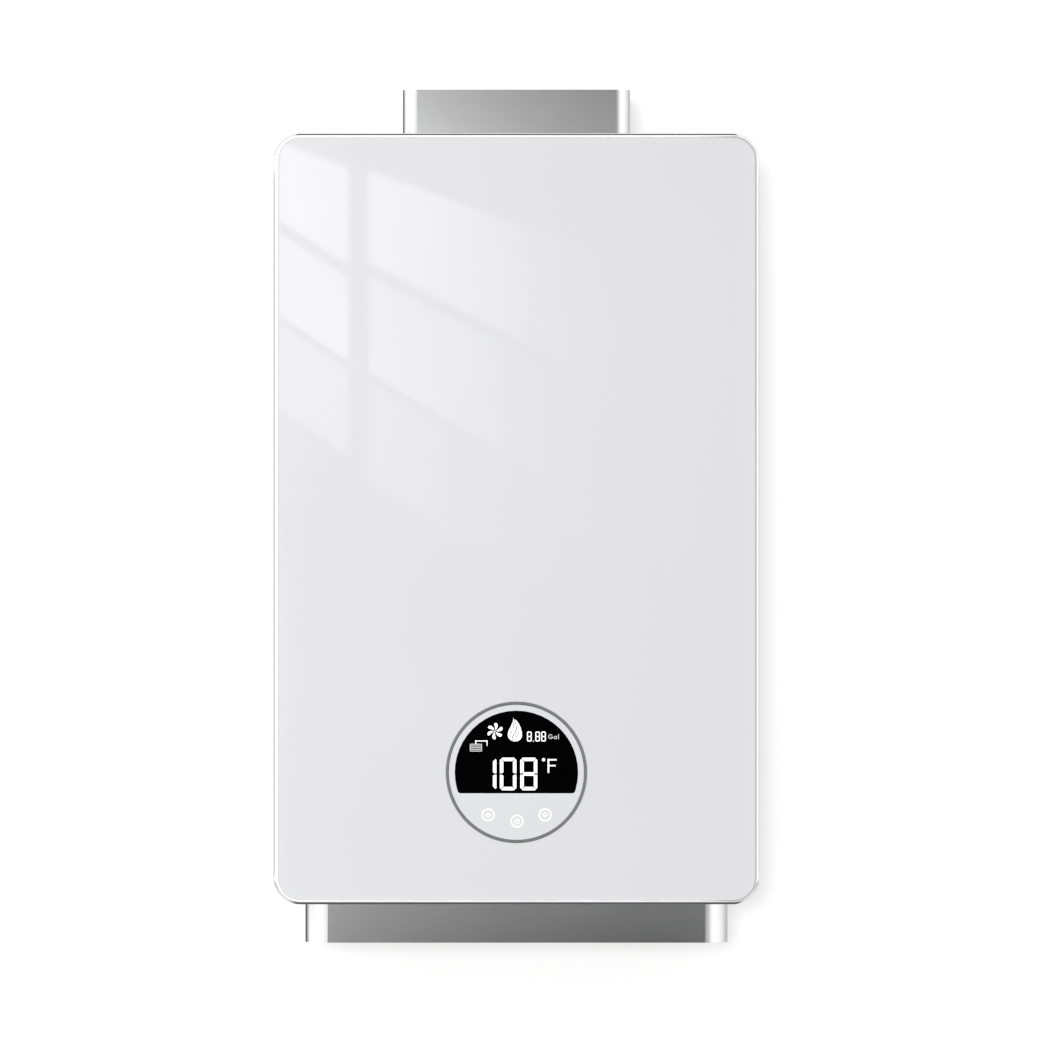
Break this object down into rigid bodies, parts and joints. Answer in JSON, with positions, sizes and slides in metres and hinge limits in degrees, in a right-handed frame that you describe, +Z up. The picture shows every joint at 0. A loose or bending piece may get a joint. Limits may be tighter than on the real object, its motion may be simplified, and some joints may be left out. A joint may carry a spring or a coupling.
{
  "type": "tankless gas water heater",
  "caption": "Slim wall-hung tankless gas water heater: white glass front cover with a round touch display, silver case, flue box on top and pipe connections below.",
  "frame": {"origin": "centre of the wall bracket's back face, midway between its screw holes, on the wall plane", "axes": "+X to the viewer's right, +Y into the wall, +Z up; the glass front faces -Y"},
  "size_m": [0.34, 0.14, 0.6],
  "materials": {
    "panel_glass": "white back-painted glass, gloss",
    "rim_metal": "polished",
    "ring_metal": "satin",
    "touch_white": "gloss",
    "lens_black": "gloss",
    "black_plastic": "satin",
    "circuit_board": "satin",
    "case_silver": "satin silver",
    "zinc_steel": "zinc plated",
    "cast_alloy": "cast",
    "copper": "copper",
    "brass": "machined",
    "rubber": "matte",
    "foam": "closed-cell foam",
    "spark_ceramic": "glazed",
    "turbine_white": "moulded"
  },
  "bodies": {
    "appliance": {"case_shell": "case_silver", "top_plate": "case_silver", "base_plate": "zinc_steel", "case_screws": "zinc_steel", "wall_bracket": "zinc_steel", "hanging_rail": "zinc_steel", "wall_bumpers": "rubber", "cord_grommet": "rubber", "flue_box": "case_silver", "flue_top": "case_silver", "flue_gasket": "rubber", "flue_collar": "zinc_steel", "flap_pin": "zinc_steel", "fan_volute": "zinc_steel", "fan_front_plate": "zinc_steel", "fan_motor": "cast_alloy", "exhaust_hood": "zinc_steel", "exchanger_shell": "copper", "exchanger_fins": "copper", "exchanger_tubes": "copper", "combustion_chamber": "copper", "water_coil": "copper", "hot_pipe": "copper", "limit_thermostats": "black_plastic", "outlet_sensor": "brass", "burner_tray": "zinc_steel", "burner_strips": "zinc_steel", "gas_manifold": "cast_alloy", "spark_electrodes": "spark_ceramic", "gas_inlet": "brass", "gas_valve_body": "cast_alloy", "main_solenoid": "black_plastic", "modulating_coil": "black_plastic", "water_inlet": "brass", "inlet_filter": "zinc_steel", "flow_sensor": "black_plastic", "hot_outlet": "brass", "control_box": "black_plastic", "control_board": "circuit_board", "control_lid": "black_plastic", "igniter_unit": "black_plastic"},
    "cover": {"cover_frame": "rim_metal", "glass_panel": "panel_glass", "glass_tape": "foam", "cover_pan": "zinc_steel", "cover_seal": "foam", "cover_screws": "zinc_steel", "display_ring": "ring_metal", "touch_panel": "touch_white", "display_lens": "lens_black", "display_board": "circuit_board", "display_housing": "black_plastic", "touch_springs": "brass"},
    "fan": {"fan_shaft": "zinc_steel", "fan_wheel": "zinc_steel"},
    "flap": {"backdraft_flap": "zinc_steel"},
    "turbine": {"flow_turbine": "turbine_white"},
    "main_valve": {"main_plunger": "zinc_steel"},
    "modulating_valve": {"modulating_armature": "zinc_steel"},
    "drain": {"drain_plug": "black_plastic"}
  },
  "joints": [
    {"name": "cover_pull", "type": "slide", "parent": "appliance", "child": "cover", "axis": [0, -1, 0], "range_m": [0, 0.25]},
    {"name": "fan_spin", "type": "hinge", "parent": "appliance", "child": "fan", "pos_m": [-0.03825, -0.065, 0.012], "axis": [0, -1, 0], "continuous": true},
    {"name": "flap_swing", "type": "hinge", "parent": "appliance", "child": "flap", "pos_m": [0, -0.042, 0.0633], "axis": [-1, 0, 0], "range_deg": [0, 60]},
    {"name": "turbine_spin", "type": "hinge", "parent": "appliance", "child": "turbine", "pos_m": [0.095, -0.062, -0.422], "axis": [0, 0, 1], "continuous": true},
    {"name": "main_valve_lift", "type": "slide", "parent": "appliance", "child": "main_valve", "axis": [-1, 0, 0], "range_m": [0, 0.004], "stiffness_N_per_m": 500, "springref_m": -0.004},
    {"name": "modulating_lift", "type": "slide", "parent": "appliance", "child": "modulating_valve", "axis": [1, 0, 0], "range_m": [0, 0.003], "stiffness_N_per_m": 500, "springref_m": -0.004},
    {"name": "drain_pull", "type": "slide", "parent": "appliance", "child": "drain", "axis": [0, 0, -1], "range_m": [0, 0.018]}
  ]
}
